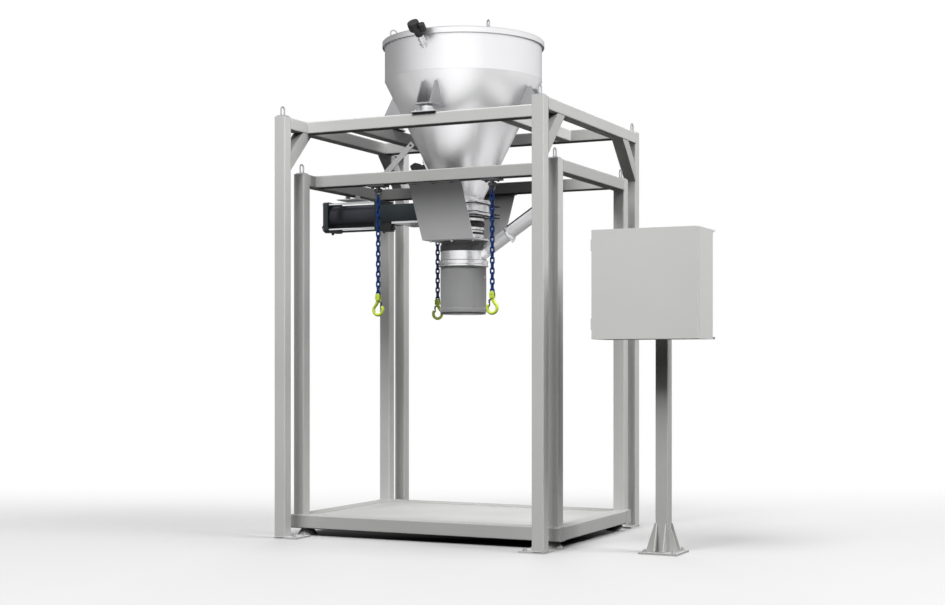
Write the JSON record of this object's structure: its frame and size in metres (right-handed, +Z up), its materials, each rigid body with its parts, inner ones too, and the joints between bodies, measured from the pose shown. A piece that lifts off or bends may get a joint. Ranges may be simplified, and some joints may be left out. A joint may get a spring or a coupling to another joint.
{
  "type": "bulk bag filling machine",
  "caption": "Bulk bag filler: a weighing hopper on a tube frame, knife gate and filling spout, chains with loop hooks over a pallet deck, and a control cabinet on a post.",
  "frame": {"origin": "on the floor below the filling spout's axis, in the middle of the outer posts", "axes": "+X to the right as seen from the front, +Y to the back, +Z up"},
  "size_m": [2.984, 1.722, 3.377],
  "materials": {
    "frame_paint": "satin light grey paint",
    "hopper_steel": "satin stainless sheet",
    "machined_steel": "machined and zinc-plated steel",
    "bright_rod": "bright plated rod",
    "dark_metal": "satin dark grey",
    "slate_paint": "satin slate paint",
    "black_plastic": "matt moulded",
    "black_rubber": "matt",
    "seal_skin": "coated cloth",
    "chain_paint": "glossy dark blue",
    "hook_paint": "glossy yellow green",
    "cabinet_paint": "smooth light grey paint",
    "gear_plastic": "moulded housings"
  },
  "bodies": {
    "machine": {"outer_posts": "frame_paint", "outer_side_beams": "frame_paint", "outer_cross_beams": "frame_paint", "hopper_rails": "frame_paint", "knee_braces": "frame_paint", "lifting_eyes": "machined_steel", "inner_posts": "frame_paint", "inner_side_beams": "frame_paint", "inner_cross_beams": "frame_paint", "base_cross_rails": "frame_paint", "base_side_rails": "frame_paint", "deck_plate": "frame_paint", "base_feet": "frame_paint", "hopper_shell": "hopper_steel", "hopper_cover": "hopper_steel", "inlet_collar": "hopper_steel", "hopper_brackets": "hopper_steel", "load_cells": "machined_steel", "level_sensor": "black_plastic", "vibrator": "black_plastic", "stay_bracket": "frame_paint", "gate_body": "machined_steel", "gate_bonnet": "slate_paint", "cylinder_barrel": "slate_paint", "cylinder_caps": "slate_paint", "tie_rods": "bright_rod", "air_fittings": "black_plastic", "pilot_valve": "black_plastic", "flex_sleeve": "black_rubber", "band_clamps": "machined_steel", "cradle": "dark_metal", "fixing_bolts": "machined_steel", "spout_pipe": "hopper_steel", "dust_plenum": "hopper_steel", "spout_neck": "black_rubber", "spout_clamp": "machined_steel", "neck_seal": "seal_skin", "chain_hangers": "dark_metal", "cabinet_shell": "cabinet_paint", "cabinet_stand": "frame_paint", "mounting_plate": "machined_steel", "control_gear": "gear_plastic"},
    "blade": {"gate_blade": "bright_rod"},
    "door": {"cabinet_door": "cabinet_paint"},
    "shackle_front_left": {"shackle_front_left": "machined_steel"},
    "chain_front_left": {"chain_front_left": "chain_paint", "hook_front_left": "hook_paint"},
    "latch_front_left": {"latch_front_left": "machined_steel"},
    "shackle_front_right": {"shackle_front_right": "machined_steel"},
    "chain_front_right": {"chain_front_right": "chain_paint", "hook_front_right": "hook_paint"},
    "latch_front_right": {"latch_front_right": "machined_steel"},
    "shackle_rear_left": {"shackle_rear_left": "machined_steel"},
    "chain_rear_left": {"chain_rear_left": "chain_paint", "hook_rear_left": "hook_paint"},
    "latch_rear_left": {"latch_rear_left": "machined_steel"},
    "shackle_rear_right": {"shackle_rear_right": "machined_steel"},
    "chain_rear_right": {"chain_rear_right": "chain_paint", "hook_rear_right": "hook_paint"},
    "latch_rear_right": {"latch_rear_right": "machined_steel"}
  },
  "joints": [
    {"name": "blade_slide", "type": "slide", "parent": "machine", "child": "blade", "axis": [-1, 0, 0], "range_m": [0, 0.282]},
    {"name": "shackle_front_left_swing", "type": "hinge", "parent": "machine", "child": "shackle_front_left", "pos_m": [-0.415, -0.434, 2.282], "axis": [1, 0, 0], "range_deg": [-22, 22]},
    {"name": "chain_front_left_swing", "type": "hinge", "parent": "shackle_front_left", "child": "chain_front_left", "pos_m": [-0.415, -0.434, 2.257], "axis": [0, 1, 0], "range_deg": [-22, 22]},
    {"name": "latch_front_left_hinge", "type": "hinge", "parent": "chain_front_left", "child": "latch_front_left", "pos_m": [-0.402, -0.434, 1.5463], "axis": [0, 1, 0], "range_deg": [0, 35], "stiffness_Nm_per_rad": 0.08, "springref_deg": -17.19},
    {"name": "shackle_front_right_swing", "type": "hinge", "parent": "machine", "child": "shackle_front_right", "pos_m": [0.415, -0.434, 2.282], "axis": [1, 0, 0], "range_deg": [-22, 22]},
    {"name": "chain_front_right_swing", "type": "hinge", "parent": "shackle_front_right", "child": "chain_front_right", "pos_m": [0.415, -0.434, 2.257], "axis": [0, 1, 0], "range_deg": [-22, 22]},
    {"name": "latch_front_right_hinge", "type": "hinge", "parent": "chain_front_right", "child": "latch_front_right", "pos_m": [0.402, -0.434, 1.5463], "axis": [0, -1, 0], "range_deg": [0, 35], "stiffness_Nm_per_rad": 0.08, "springref_deg": -17.19},
    {"name": "shackle_rear_left_swing", "type": "hinge", "parent": "machine", "child": "shackle_rear_left", "pos_m": [-0.415, 0.434, 2.282], "axis": [1, 0, 0], "range_deg": [-22, 22]},
    {"name": "chain_rear_left_swing", "type": "hinge", "parent": "shackle_rear_left", "child": "chain_rear_left", "pos_m": [-0.415, 0.434, 2.257], "axis": [0, 1, 0], "range_deg": [-22, 22]},
    {"name": "latch_rear_left_hinge", "type": "hinge", "parent": "chain_rear_left", "child": "latch_rear_left", "pos_m": [-0.428, 0.434, 1.5463], "axis": [0, -1, 0], "range_deg": [0, 35], "stiffness_Nm_per_rad": 0.08, "springref_deg": -17.19},
    {"name": "shackle_rear_right_swing", "type": "hinge", "parent": "machine", "child": "shackle_rear_right", "pos_m": [0.415, 0.434, 2.282], "axis": [1, 0, 0], "range_deg": [-22, 22]},
    {"name": "chain_rear_right_swing", "type": "hinge", "parent": "shackle_rear_right", "child": "chain_rear_right", "pos_m": [0.415, 0.434, 2.257], "axis": [0, 1, 0], "range_deg": [-22, 22]},
    {"name": "latch_rear_right_hinge", "type": "hinge", "parent": "chain_rear_right", "child": "latch_rear_right", "pos_m": [0.428, 0.434, 1.5463], "axis": [0, 1, 0], "range_deg": [0, 35], "stiffness_Nm_per_rad": 0.08, "springref_deg": -17.19},
    {"name": "door_swing", "type": "hinge", "parent": "machine", "child": "door", "pos_m": [1.234, -0.805, 1.604], "axis": [0, 0, -1], "range_deg": [0, 110]}
  ]
}
